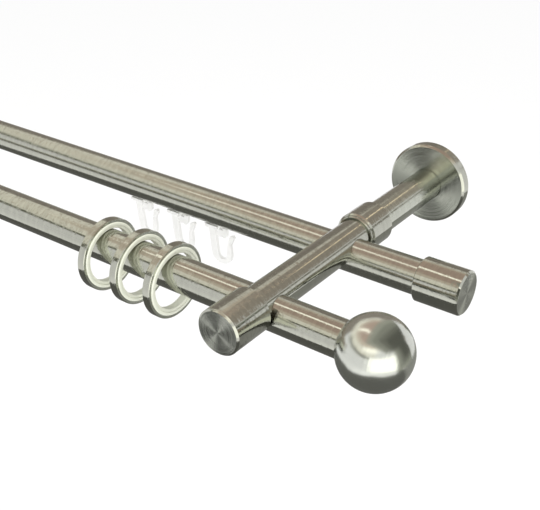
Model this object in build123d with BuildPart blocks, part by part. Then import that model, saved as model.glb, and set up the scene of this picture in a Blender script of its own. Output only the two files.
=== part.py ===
"""A wall-mounted curtain rod set with two runs.

A round tube carries curtain rings in front, and a round inner-run track carries gliders behind it.
Two brackets hold both runs. Each has a wall plate under a cover rosette, a stub, a collar, an arm
with two cross bores and a cap over the arm's front end. The tube ends in balls, the track in caps.

Frame: +X runs along the rods, +Y points into the wall and +Z is up. The origin is the centre of the
right bracket's wall face. Every length is in millimetres.
"""
import math
import os

from build123d import *

os.makedirs("parts", exist_ok=True)

# Runs
rod_length = 1000.0
rod_radius = 10.0
tube_wall = 1.2
rod_drop = 5.0
rear_reach = 106.5
run_spacing = 73.5
rod_overhang = 73.0

# Inner-run track section, measured from the track's own axis
web_top = -0.6
web_thickness = 1.4
track_wall = 1.6
channel_half_width = 5.4
channel_floor = -6.8
slot_half_width = 2.5

# Bracket
bar_radius = 10.0
bar_edge = 0.4
slip = 0.05
rosette_radius = 25.8
rosette_depth = 7.0
rosette_front = 2.0
rosette_rim = 2.6
rosette_edge = 1.3
plate_radius = 23.0
plate_thickness = 4.2
plate_edge = 0.3
spigot_radius = 4.0
spigot_length = 14.0
wall_hole_spacing = 28.0
wall_hole_radius = 2.6
wall_hole_sink = 4.7
collar_radius = 12.5
collar_length = 21.6
collar_track_gap = 2.2
collar_nose_radius = 11.4
collar_nose_length = 1.3
collar_edge = 0.9
collar_nose_edge = 0.5

# Caps over the arm's front end and over the track's ends
cap_radius = 12.5
cap_length = 26.0
cap_end_wall = 3.0
cap_edge = 1.0
cap_back_edge = 0.5
arm_cap_gap = 1.2

# Ball finials
ball_radius = 19.2
ball_seat = 8.8

# Fasteners
grub_radius = 1.5
grub_length = 2.4
grub_socket = 0.75
clamp_radius = 2.5
clamp_length = 12.0
clamp_socket = 1.25
thread_gap = 0.03
tip_gap = 0.02
socket_depth_share = 0.5
screw_edge_share = 0.12
collar_screw_shares = (0.25, 0.75)
sleeve_screw_share = 0.6

# Curtain rings
ring_count = 3
ring_band_radius = 21.5
ring_band_width = 5.0
ring_band_edge = 0.35
ring_insert_radius = 19.6
ring_insert_bore = 16.0
ring_insert_width = 6.0
ring_insert_edge = 0.5
ring_first_x = -62.2
ring_pitch = 24.6
ring_play = 0.3
press_gap = 0.03

# Gliders, with X measured from the middle of the hook
glider_count = 3
glider_first_x = -88.9
glider_pitch = 31.6
glider_play = 0.3
neck_play = 0.4
head_length = 9.0
head_centre = -1.6
head_corner = 1.5
neck_length = 6.0
flange_left = -9.8
flange_right = 0.0
flange_half_width = 4.0
flange_thickness = 2.2
flange_gap = 0.5
hub_left = -1.4
hub_right = 4.4
hub_half_width = 2.4
hub_height = 6.8
notch_centre = 2.45
notch_width = 3.1
notch_height = 2.1
notch_depth = 1.2
latch_left = 4.0
latch_right = 7.4
latch_half_width = 3.0
latch_thickness = 1.4
latch_height = 7.0
latch_chamfer = 2.0
wing_right = 19.5
wing_drop = 0.6
wing_thickness = 2.4
hook_top_left = -9.0
hook_top_right = -3.9
hook_outer_radius = 8.0
hook_outer_x = 1.15
hook_inner_radius = 3.4
hook_inner_x = 1.75
hook_bottom_wire = 3.6
hook_thickness = 2.2
hook_depth = 26.8
waist_left = 6.1
waist_right = 8.5
waist_drop = 11.7
tip_left = 7.3
tip_right = 11.2
tip_drop = 6.0
tip_peak = 10.1
tip_peak_drop = 4.6
hook_edge = 0.4

# Places that follow from the sizes above
rod_z = -rod_drop
front_reach = rear_reach + run_spacing
front_y = -front_reach
rear_y = -rear_reach
bracket_spacing = rod_length - 2 * rod_overhang
bracket_places = {"right": 0.0, "left": -bracket_spacing}
end_places = {"right": (rod_overhang, 1), "left": (rod_overhang - rod_length, -1)}
collar_front = rear_reach - rod_radius - collar_track_gap
collar_start = collar_front - collar_length
bar_joint = collar_start + collar_length / 2
arm_cap_back = front_reach + rod_radius + arm_cap_gap
arm_front = arm_cap_back + cap_length - cap_end_wall
sleeve_bore = bar_radius + slip
rod_bore = rod_radius + slip


def finish(part, node_name):
    """Name a finished piece and write its STEP file."""
    part.label = node_name
    export_step(part, f"parts/{node_name}.step")


def headless_screw(tip, way_out, radius, length, socket):
    """A headless screw with a flat tip and a hexagon socket."""
    plane = Plane(origin=tip, z_dir=way_out)
    with BuildPart() as screw:
        with BuildSketch(plane):
            Circle(radius)
        extrude(amount=length)
        chamfer(screw.faces().sort_by(SortBy.AREA)[0:2].edges(), radius * screw_edge_share)
        with BuildSketch(plane.offset(length)):
            RegularPolygon(socket, 6)
        extrude(amount=-length * socket_depth_share, mode=Mode.SUBTRACT)
    return screw.part


# Tips of the grub screws by the piece that each is threaded into, with the way out of it
down = (0, 0, -1)
to_wall = (0, 1, 0)
screw_tips = {}
for bracket, bracket_x in bracket_places.items():
    bar_underside = -bar_radius - tip_gap
    arm_cap_screw = arm_cap_back + (cap_length - cap_end_wall) * sleeve_screw_share
    screw_tips[f"{bracket}_collar"] = [
        ((bracket_x, -collar_start - collar_length * share, bar_underside), down)
        for share in collar_screw_shares
    ]
    screw_tips[f"{bracket}_arm_cap"] = [((bracket_x, -arm_cap_screw, bar_underside), down)]
    screw_tips[f"{bracket}_rosette"] = [
        ((bracket_x, -plate_thickness / 2, -plate_radius - tip_gap), down)
    ]
for side, (end, direction) in end_places.items():
    cap_screw_x = end - direction * (cap_length - cap_end_wall) / 2
    ball_screw_x = end - direction * (ball_seat + ball_radius * sleeve_screw_share)
    screw_tips[f"{side}_end_cap"] = [((cap_screw_x, rear_y + rod_radius + tip_gap, rod_z), to_wall)]
    screw_tips[f"{side}_ball"] = [((ball_screw_x, front_y, rod_z - rod_radius - tip_gap), down)]


def threaded_holes(node_name, reach):
    """Solid plugs in the shape of one piece's threaded holes, long enough to leave it."""
    with BuildPart() as plugs:
        for tip, way_out in screw_tips[node_name]:
            with BuildSketch(Plane(origin=tip, z_dir=way_out).offset(-slip)):
                Circle(grub_radius + thread_gap)
            extrude(amount=reach)
    return plugs.part


def touch_point(start, centre, radius, side):
    """The point where a straight leg from start runs into a bend, on the side given as 1 or -1."""
    reach = Vector(*start) - Vector(*centre)
    angle = math.atan2(reach.Y, reach.X) + side * math.acos(radius / reach.length)
    return centre[0] + radius * math.cos(angle), centre[1] + radius * math.sin(angle)


# Wall plates, each turned with the threaded spigot that carries the stub
for bracket, bracket_x in bracket_places.items():
    with BuildPart() as wall_plate:
        with BuildSketch(Plane.XZ):
            with Locations((bracket_x, 0)):
                Circle(plate_radius)
        extrude(amount=plate_thickness)
        chamfer(wall_plate.faces().sort_by(Axis.Y)[0].edges(), plate_edge)
        with BuildSketch(Plane.XZ.offset(plate_thickness)):
            with Locations((bracket_x, 0)):
                Circle(spigot_radius)
        extrude(amount=spigot_length)
        plate_face = Plane(origin=(bracket_x, -plate_thickness, 0), x_dir=(1, 0, 0), z_dir=(0, -1, 0))
        with Locations(plate_face):
            with GridLocations(wall_hole_spacing, 1, 2, 1):
                CounterSinkHole(wall_hole_radius, wall_hole_sink, depth=plate_thickness)
    finish(wall_plate.part, f"{bracket}_wall_plate")

# Rosettes, turned cups that slide along the stub and cover the wall plates
for bracket, bracket_x in bracket_places.items():
    with BuildPart() as rosette:
        with BuildSketch(Plane.XZ):
            with Locations((bracket_x, 0)):
                Circle(rosette_radius)
        extrude(amount=rosette_depth)
        chamfer(rosette.faces().sort_by(Axis.Y)[0].edges(), rosette_edge)
        with BuildSketch(Plane.XZ):
            with Locations((bracket_x, 0)):
                Circle(rosette_radius - rosette_rim)
        extrude(amount=rosette_depth - rosette_front, mode=Mode.SUBTRACT)
        with BuildSketch(Plane.XZ):
            with Locations((bracket_x, 0)):
                Circle(sleeve_bore)
        extrude(amount=rosette_depth, mode=Mode.SUBTRACT)
        add(threaded_holes(f"{bracket}_rosette", rosette_rim * 2), mode=Mode.SUBTRACT)
    finish(rosette.part, f"{bracket}_rosette")

# Stubs, solid bars that screw onto the wall plates
for bracket, bracket_x in bracket_places.items():
    with BuildPart() as stub:
        with BuildSketch(Plane.XZ.offset(plate_thickness)):
            with Locations((bracket_x, 0)):
                Circle(bar_radius)
        extrude(amount=bar_joint - plate_thickness)
        chamfer(stub.edges().filter_by(GeomType.CIRCLE), bar_edge)
        with BuildSketch(Plane.XZ.offset(plate_thickness)):
            with Locations((bracket_x, 0)):
                Circle(spigot_radius + thread_gap)
        extrude(amount=spigot_length + bar_edge, mode=Mode.SUBTRACT)
    finish(stub.part, f"{bracket}_stub")

# Collars, sleeves that join stub and arm, with a stepped nose at the front
for bracket, bracket_x in bracket_places.items():
    with BuildPart() as collar:
        with BuildSketch(Plane.XZ.offset(collar_start)):
            with Locations((bracket_x, 0)):
                Circle(collar_radius)
        extrude(amount=collar_length - collar_nose_length)
        chamfer(collar.faces().sort_by(Axis.Y)[0].edges(), collar_edge)
        with BuildSketch(Plane.XZ.offset(collar_front - collar_nose_length)):
            with Locations((bracket_x, 0)):
                Circle(collar_nose_radius)
        extrude(amount=collar_nose_length)
        chamfer(collar.faces().sort_by(Axis.Y)[0].edges(), collar_nose_edge)
        chamfer(collar.faces().sort_by(Axis.Y)[-1].edges(), cap_back_edge)
        with BuildSketch(Plane.XZ.offset(collar_start)):
            with Locations((bracket_x, 0)):
                Circle(sleeve_bore)
        extrude(amount=collar_length, mode=Mode.SUBTRACT)
        add(threaded_holes(f"{bracket}_collar", collar_radius), mode=Mode.SUBTRACT)
    finish(collar.part, f"{bracket}_collar")

# Arms, solid bars with a cross bore for each run, open at the bottom
for bracket, bracket_x in bracket_places.items():
    with BuildPart() as arm:
        with BuildSketch(Plane.XZ.offset(bar_joint)):
            with Locations((bracket_x, 0)):
                Circle(bar_radius)
        extrude(amount=arm_front - bar_joint)
        chamfer(arm.edges().filter_by(GeomType.CIRCLE), bar_edge)
        with BuildSketch(Plane.YZ.offset(bracket_x)):
            with Locations((front_y, rod_z), (rear_y, rod_z)):
                Circle(rod_bore)
        extrude(amount=bar_radius * 2, both=True, mode=Mode.SUBTRACT)
        with BuildSketch(Plane.XZ.offset(bar_joint)):
            with Locations((bracket_x, rod_z)):
                Circle(clamp_radius + thread_gap)
        extrude(amount=rear_reach - bar_joint, mode=Mode.SUBTRACT)
        with BuildSketch(Plane.XZ.offset(front_reach)):
            with Locations((bracket_x, rod_z)):
                Circle(clamp_radius + thread_gap)
        extrude(amount=arm_front - front_reach, mode=Mode.SUBTRACT)
    finish(arm.part, f"{bracket}_arm")

# Caps over the arms' front ends
for bracket, bracket_x in bracket_places.items():
    with BuildPart() as arm_cap:
        with BuildSketch(Plane.XZ.offset(arm_cap_back)):
            with Locations((bracket_x, 0)):
                Circle(cap_radius)
        extrude(amount=cap_length)
        chamfer(arm_cap.faces().sort_by(Axis.Y)[0].edges(), cap_edge)
        chamfer(arm_cap.faces().sort_by(Axis.Y)[-1].edges(), cap_back_edge)
        with BuildSketch(Plane.XZ.offset(arm_cap_back)):
            with Locations((bracket_x, 0)):
                Circle(sleeve_bore)
        extrude(amount=cap_length - cap_end_wall, mode=Mode.SUBTRACT)
        add(threaded_holes(f"{bracket}_arm_cap", cap_radius), mode=Mode.SUBTRACT)
    finish(arm_cap.part, f"{bracket}_arm_cap")

# Front run, a plain round tube
with BuildPart() as front_tube:
    with BuildSketch(Plane.YZ.offset(rod_overhang - rod_length)):
        with Locations((front_y, rod_z)):
            Circle(rod_radius)
            Circle(rod_radius - tube_wall, mode=Mode.SUBTRACT)
    extrude(amount=rod_length)
finish(front_tube.part, "front_tube")

# Rear run, a round extrusion with a chamber above and a slotted channel below
with BuildPart() as rear_track:
    with BuildSketch(Plane.YZ.offset(rod_overhang - rod_length)):
        with Locations((rear_y, rod_z)):
            Circle(rod_radius)
            with BuildSketch(mode=Mode.PRIVATE) as chamber:
                Circle(rod_radius - track_wall)
                with Locations((0, web_top)):
                    Rectangle(
                        rod_radius * 2, rod_radius * 2, align=(Align.CENTER, Align.MAX), mode=Mode.SUBTRACT
                    )
            add(chamber.sketch, mode=Mode.SUBTRACT)
        channel_top = web_top - web_thickness
        with Locations((rear_y, rod_z + channel_floor)):
            Rectangle(
                channel_half_width * 2,
                channel_top - channel_floor,
                align=(Align.CENTER, Align.MIN),
                mode=Mode.SUBTRACT,
            )
            Rectangle(
                slot_half_width * 2, rod_radius, align=(Align.CENTER, Align.MAX), mode=Mode.SUBTRACT
            )
    extrude(amount=rod_length)
finish(rear_track.part, "rear_track")

# Ball finials, turned balls with a blind bore that slips over the tube
for side, (end, direction) in end_places.items():
    ball_x = end - direction * ball_seat
    with BuildPart() as ball:
        with Locations((ball_x, front_y, rod_z)):
            Sphere(ball_radius)
        with BuildSketch(Plane.YZ.offset(end)):
            with Locations((front_y, rod_z)):
                Circle(rod_bore)
        extrude(amount=-direction * ball_radius * 2, mode=Mode.SUBTRACT)
        add(threaded_holes(f"{side}_ball", ball_radius), mode=Mode.SUBTRACT)
    finish(ball.part, f"{side}_ball")

# End caps of the track
for side, (end, direction) in end_places.items():
    cap_plane = Plane.YZ.offset(end + direction * cap_end_wall)
    with BuildPart() as end_cap:
        with BuildSketch(cap_plane):
            with Locations((rear_y, rod_z)):
                Circle(cap_radius)
        extrude(amount=-direction * cap_length)
        outer_rims = end_cap.faces().filter_by(GeomType.PLANE).sort_by(Axis.X)
        chamfer(outer_rims[-1 if direction > 0 else 0].edges(), cap_edge)
        chamfer(outer_rims[0 if direction > 0 else -1].edges(), cap_back_edge)
        with BuildSketch(Plane.YZ.offset(end)):
            with Locations((rear_y, rod_z)):
                Circle(rod_bore)
        extrude(amount=-direction * cap_length, mode=Mode.SUBTRACT)
        add(threaded_holes(f"{side}_end_cap", cap_radius), mode=Mode.SUBTRACT)
    finish(end_cap.part, f"{side}_end_cap")

# Curtain rings, each a steel band pressed over a plastic insert, hanging on the tube
ring_z = rod_z + rod_radius + ring_play - ring_insert_bore
for index in range(ring_count):
    ring_x = ring_first_x - ring_pitch * (ring_count - 1 - index)
    band_plane = Plane.YZ.offset(ring_x - ring_band_width / 2)
    insert_plane = Plane.YZ.offset(ring_x - ring_insert_width / 2)
    with BuildPart() as ring_band:
        with BuildSketch(band_plane):
            with Locations((front_y, ring_z)):
                Circle(ring_band_radius)
                Circle(ring_insert_radius + press_gap, mode=Mode.SUBTRACT)
        extrude(amount=ring_band_width)
        chamfer(ring_band.edges().filter_by(GeomType.CIRCLE).group_by(SortBy.RADIUS)[-1], ring_band_edge)
    finish(ring_band.part, f"ring_{index + 1}_band")
    with BuildPart() as ring_insert:
        with BuildSketch(insert_plane):
            with Locations((front_y, ring_z)):
                Circle(ring_insert_radius)
                Circle(ring_insert_bore, mode=Mode.SUBTRACT)
        extrude(amount=ring_insert_width)
        chamfer(ring_insert.edges().filter_by(GeomType.CIRCLE), ring_insert_edge)
    finish(ring_insert.part, f"ring_{index + 1}_insert")

# Gliders, each moulded in one piece: head, neck, flange, hub, latch and hook
head_bottom = rod_z + channel_floor + glider_play
head_top = rod_z + channel_top - glider_play
flange_top = rod_z - rod_radius - flange_gap
flange_bottom = flange_top - flange_thickness
wing_bottom = rod_z - rod_radius - wing_drop
hook_top = flange_top - flange_thickness / 2
hook_bottom = flange_top - hook_depth
hook_outer = (hook_outer_x, hook_bottom + hook_outer_radius)
hook_inner = (hook_inner_x, hook_bottom + hook_bottom_wire + hook_inner_radius)
waist_z = flange_top - waist_drop
outer_left = touch_point((hook_top_left, hook_top), hook_outer, hook_outer_radius, 1)
outer_right = touch_point((waist_right, waist_z), hook_outer, hook_outer_radius, -1)
inner_left = touch_point((hook_top_right, hook_top), hook_inner, hook_inner_radius, 1)
inner_right = touch_point((waist_left, waist_z), hook_inner, hook_inner_radius, -1)
for index in range(glider_count):
    glider_x = glider_first_x - glider_pitch * (glider_count - 1 - index)
    front = Plane(origin=(glider_x, rear_y, 0), x_dir=(1, 0, 0), z_dir=(0, -1, 0))
    with BuildPart() as hook:
        with BuildSketch(front.offset(-hook_thickness / 2)):
            with BuildLine():
                Line((hook_top_left, hook_top), outer_left)
                ThreePointArc(outer_left, (hook_outer_x, hook_bottom), outer_right)
                Polyline(
                    outer_right,
                    (waist_right, waist_z),
                    (tip_right, flange_top - tip_drop),
                    (tip_peak, flange_top - tip_peak_drop),
                    (tip_left, flange_top - tip_drop),
                    (waist_left, waist_z),
                    inner_right,
                )
                ThreePointArc(inner_right, (hook_inner_x, hook_bottom + hook_bottom_wire), inner_left)
                Polyline(inner_left, (hook_top_right, hook_top), (hook_top_left, hook_top))
            make_face()
        extrude(amount=hook_thickness)
        fillet(hook.faces().filter_by(Axis.Y).edges(), hook_edge)
    with BuildPart() as glider:
        with BuildSketch(Plane.XY.offset(head_bottom)):
            with Locations((glider_x + head_centre, rear_y)):
                RectangleRounded(head_length, (channel_half_width - glider_play) * 2, head_corner)
        extrude(amount=head_top - head_bottom)
        with BuildSketch(Plane.XY.offset(flange_bottom)):
            with Locations((glider_x + head_centre, rear_y)):
                Rectangle(neck_length, (slot_half_width - neck_play) * 2)
        extrude(amount=head_bottom - flange_bottom)
        with BuildSketch(Plane.XY.offset(wing_bottom)):
            with Locations((glider_x + (head_centre + wing_right) / 2, rear_y)):
                Rectangle(wing_right - head_centre, (slot_half_width - neck_play) * 2)
        extrude(amount=wing_thickness)
        with BuildSketch(Plane.XY.offset(flange_bottom)):
            with Locations((glider_x + (flange_left + flange_right) / 2, rear_y)):
                Rectangle(flange_right - flange_left, flange_half_width * 2)
        extrude(amount=flange_thickness)
        with BuildSketch(Plane.XY.offset(flange_top - hub_height)):
            with Locations((glider_x + (hub_left + hub_right) / 2, rear_y)):
                Rectangle(hub_right - hub_left, hub_half_width * 2)
        extrude(amount=hub_height)
        with BuildSketch(front.offset(latch_half_width - latch_thickness)):
            with BuildLine():
                Polyline(
                    (latch_left, flange_top),
                    (latch_right, flange_top),
                    (latch_right, flange_top - latch_height + latch_chamfer),
                    (latch_right - latch_chamfer, flange_top - latch_height),
                    (latch_left, flange_top - latch_height),
                    close=True,
                )
            make_face()
        extrude(amount=latch_thickness)
        with BuildSketch(front.offset(hub_half_width - notch_depth)):
            with Locations((notch_centre, flange_top)):
                Rectangle(notch_width, notch_height * 2)
        extrude(amount=notch_depth, mode=Mode.SUBTRACT)
        add(hook.part)
    finish(glider.part, f"glider_{index + 1}")

# Grub screws of the collars, caps, balls and rosettes, all alike
with BuildPart() as grub_screws:
    for places in screw_tips.values():
        for tip, way_out in places:
            add(headless_screw(tip, way_out, grub_radius, grub_length, grub_socket))
finish(grub_screws.part, "grub_screws")

# Clamp screws inside the arms, one against each run
with BuildPart() as clamp_screws:
    for bracket_x in bracket_places.values():
        front_tip = (bracket_x, front_y - rod_radius - tip_gap, rod_z)
        rear_tip = (bracket_x, rear_y + rod_radius + tip_gap, rod_z)
        add(headless_screw(front_tip, (0, -1, 0), clamp_radius, clamp_length, clamp_socket))
        add(headless_screw(rear_tip, to_wall, clamp_radius, clamp_length, clamp_socket))
finish(clamp_screws.part, "clamp_screws")
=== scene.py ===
"""Dresses the curtain rod set: two runs, two brackets, balls, caps, rings and gliders, in a plain studio."""
import logging
import math
from dataclasses import dataclass
from enum import Enum

import bmesh
import bpy
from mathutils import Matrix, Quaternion, Vector


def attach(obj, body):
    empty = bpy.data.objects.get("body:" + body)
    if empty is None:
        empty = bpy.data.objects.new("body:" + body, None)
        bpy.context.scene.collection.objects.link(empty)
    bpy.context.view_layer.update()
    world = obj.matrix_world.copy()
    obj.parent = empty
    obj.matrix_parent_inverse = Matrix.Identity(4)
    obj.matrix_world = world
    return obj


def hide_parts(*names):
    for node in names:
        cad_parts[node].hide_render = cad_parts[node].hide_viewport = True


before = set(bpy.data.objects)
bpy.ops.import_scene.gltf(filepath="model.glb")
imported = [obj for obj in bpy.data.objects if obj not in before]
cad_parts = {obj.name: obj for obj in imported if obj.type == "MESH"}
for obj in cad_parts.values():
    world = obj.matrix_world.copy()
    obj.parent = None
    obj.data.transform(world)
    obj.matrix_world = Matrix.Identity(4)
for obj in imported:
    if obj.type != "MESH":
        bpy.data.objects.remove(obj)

log = logging.getLogger("curtain_rod")
Pair = tuple[float, float]
Triple = tuple[float, float, float]
Piece = bpy.types.Object
Socket = bpy.types.NodeSocket
MM = 0.001
AROUND = 128
SHARP_DEGREES = 32.0
ROUNDING_STEPS = 4
BAR_RADIUS = 10.0
SLEEVE_RADIUS = 12.5
SLEEVE_BORE = 10.05
BALL_RADIUS = 19.2
TUBE_REACH = -180.0
TRACK_REACH = -106.5
RUN_DROP = -5.0
RUN_LEFT = -927.0
RUN_RIGHT = 73.0
LEFT_BRACKET = -854.0
RING_NEAREST, RING_STEP = -62.2, 24.6
GLIDER_NEAREST, GLIDER_STEP = -88.9, 31.6
HOLE_RADIUS = 1.53
HOLE_SIDES = 32
MIDDLE = (-0.05, -0.14, 0.0)
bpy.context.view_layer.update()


class Along(Enum):
    """The way that a turned piece's axis points."""

    X = "x"
    Y = "y"


class Side(Enum):
    """The two ends of the set."""

    RIGHT = "right"
    LEFT = "left"


class Surface(Enum):
    """The kinds of surface that one turned piece can carry, by material slot."""

    BODY = 0
    EDGE = 1


@dataclass(frozen=True)
class Axis:
    """A turned piece's axis: its direction and the place of the line, in mm."""

    along: Along
    across: float
    up: float

    def at(self, place: float, radius: float, angle: float) -> Vector:
        """Gives a point on a circle round the axis.

        Args:
            place: Distance along the axis from the frame's origin, in mm.
            radius: Distance from the axis, in mm.
            angle: Turn round the axis, in radians.

        Returns:
            The point in metres.
        """
        side = self.across + radius * math.cos(angle)
        top = self.up + radius * math.sin(angle)
        if self.along is Along.X:
            return Vector((place, side, top)) * MM
        return Vector((side, place, top)) * MM


class Val:
    """A shader value. Python's operators on it add Math nodes."""

    def __init__(self, tree: "Tree", socket: Socket) -> None:
        """Keeps the tree and the socket."""
        self.tree = tree
        self.socket = socket

    def _math(self, operation: str, *values: "Val | float") -> "Val":
        """Adds one Math node.

        Args:
            operation: The node's operation.
            values: Its inputs in order.

        Returns:
            The node's result.
        """
        inputs = dict(enumerate(values))
        return Val(self.tree, self.tree.node("ShaderNodeMath", {"operation": operation}, inputs).outputs[0])

    def __add__(self, other: "Val | float") -> "Val":
        """Adds."""
        return self._math("ADD", self, other)

    def __radd__(self, other: float) -> "Val":
        """Adds to a number."""
        return self._math("ADD", other, self)

    def __sub__(self, other: "Val | float") -> "Val":
        """Subtracts."""
        return self._math("SUBTRACT", self, other)

    def __rsub__(self, other: float) -> "Val":
        """Subtracts from a number."""
        return self._math("SUBTRACT", other, self)

    def __mul__(self, other: "Val | float") -> "Val":
        """Multiplies."""
        return self._math("MULTIPLY", self, other)

    def __rmul__(self, other: float) -> "Val":
        """Multiplies a number."""
        return self._math("MULTIPLY", other, self)

    def __truediv__(self, other: "Val | float") -> "Val":
        """Divides."""
        return self._math("DIVIDE", self, other)

    def __pow__(self, other: "Val | float") -> "Val":
        """Raises to a power."""
        return self._math("POWER", self, other)

    def root(self) -> "Val":
        """Takes the square root."""
        return self._math("SQRT", self)

    def turn_to(self, other: "Val") -> "Val":
        """Takes the angle of the point whose height is this value and whose width is the other."""
        return self._math("ARCTAN2", self, other)

    def step(self, low: float, high: float) -> "Val":
        """Rises smoothly from 0 to 1 between two values.

        Args:
            low: Where the rise starts.
            high: Where it ends.

        Returns:
            The value between 0 and 1.
        """
        settings = {"interpolation_type": "SMOOTHSTEP"}
        made = self.tree.node("ShaderNodeMapRange", settings, {0: self, 1: low, 2: high})
        return Val(self.tree, made.outputs[0])


class Tree:
    """The node tree of one material or world."""

    def __init__(self, owner: bpy.types.Material | bpy.types.World) -> None:
        """Empties the owner's tree and keeps it."""
        owner.use_nodes = True
        self.nodes = owner.node_tree.nodes
        self.links = owner.node_tree.links
        self.nodes.clear()

    def node(self, kind: str, settings: dict | None = None, inputs: dict | None = None) -> bpy.types.Node:
        """Adds a node of any type.

        Args:
            kind: The node's type.
            settings: Its properties, which are set first.
            inputs: Values or links of its sockets, by name or number.

        Returns:
            The node.
        """
        made = self.nodes.new(kind)
        for name, value in (settings or {}).items():
            setattr(made, name, value)
        for key, value in (inputs or {}).items():
            socket = made.inputs[key]
            if isinstance(value, Val):
                self.links.new(value.socket, socket)
            elif isinstance(value, Socket):
                self.links.new(value, socket)
            else:
                socket.default_value = value
        return made

    def mix(self, factor: Val | float, first: object, second: object) -> Socket:
        """Mixes two colours.

        Args:
            factor: Share of the second colour.
            first: A colour or a colour socket.
            second: A colour or a colour socket.

        Returns:
            The mixed colour's socket.
        """
        inputs = {0: factor, 6: self._colour(first), 7: self._colour(second)}
        return self.node("ShaderNodeMix", {"data_type": "RGBA"}, inputs).outputs[2]

    @staticmethod
    def _colour(value: object) -> object:
        """Gives a plain colour its alpha and leaves a socket as it is."""
        return (*value, 1) if isinstance(value, tuple) else value

    def place(self) -> tuple[Val, Val, Val]:
        """Gives the three coordinates of the shaded point on the piece, in mm."""
        point = self.node("ShaderNodeTexCoord").outputs["Object"]
        scale = {"operation": "SCALE"}
        in_mm = self.node("ShaderNodeVectorMath", scale, {0: point, "Scale": 1 / MM}).outputs[0]
        parts = self.node("ShaderNodeSeparateXYZ", None, {0: in_mm}).outputs
        return tuple(Val(self, part) for part in parts)

    def noise(self, x: Val | float, y: Val | float, z: Val | float, detail: float = 2.0) -> Val:
        """Gives smooth noise from 0 to 1 over three coordinates.

        Args:
            x: First coordinate, already scaled.
            y: Second coordinate.
            z: Third coordinate.
            detail: How many finer layers are added.

        Returns:
            The noise.
        """
        where = self.node("ShaderNodeCombineXYZ", None, {0: x, 1: y, 2: z}).outputs[0]
        inputs = {"Vector": where, "Scale": 1.0, "Detail": detail}
        return Val(self, self.node("ShaderNodeTexNoise", None, inputs).outputs[0])

    def bump(self, height: Val, strength: float, depth_mm: float, under: object = None) -> Socket:
        """Turns a height into a bent normal.

        Args:
            height: The height, from 0 to 1.
            strength: Share of the bump that shows.
            depth_mm: What a height of 1 stands for.
            under: The normal of a bump below this one.

        Returns:
            The normal's socket.
        """
        inputs = {"Height": height, "Strength": strength, "Distance": depth_mm * MM}
        if under is not None:
            inputs["Normal"] = under
        return self.node("ShaderNodeBump", None, inputs).outputs[0]

    def tilt(self, x: Val | float, y: Val | float, z: Val | float) -> Socket:
        """Leans the surface's own normal by a small vector.

        Args:
            x: The lean along the rods.
            y: The lean into the wall.
            z: The lean upwards.

        Returns:
            The leaning normal.
        """
        lean = self.node("ShaderNodeCombineXYZ", None, {0: x, 1: y, 2: z}).outputs[0]
        own = self.node("ShaderNodeNewGeometry").outputs["Normal"]
        total = self.node("ShaderNodeVectorMath", {"operation": "ADD"}, {0: own, 1: lean}).outputs[0]
        return self.node("ShaderNodeVectorMath", {"operation": "NORMALIZE"}, {0: total}).outputs[0]

    def surface(self, shader: bpy.types.Node) -> None:
        """Links a shader to the material's output."""
        self.node("ShaderNodeOutputMaterial", None, {"Surface": shader.outputs[0]})


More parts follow.
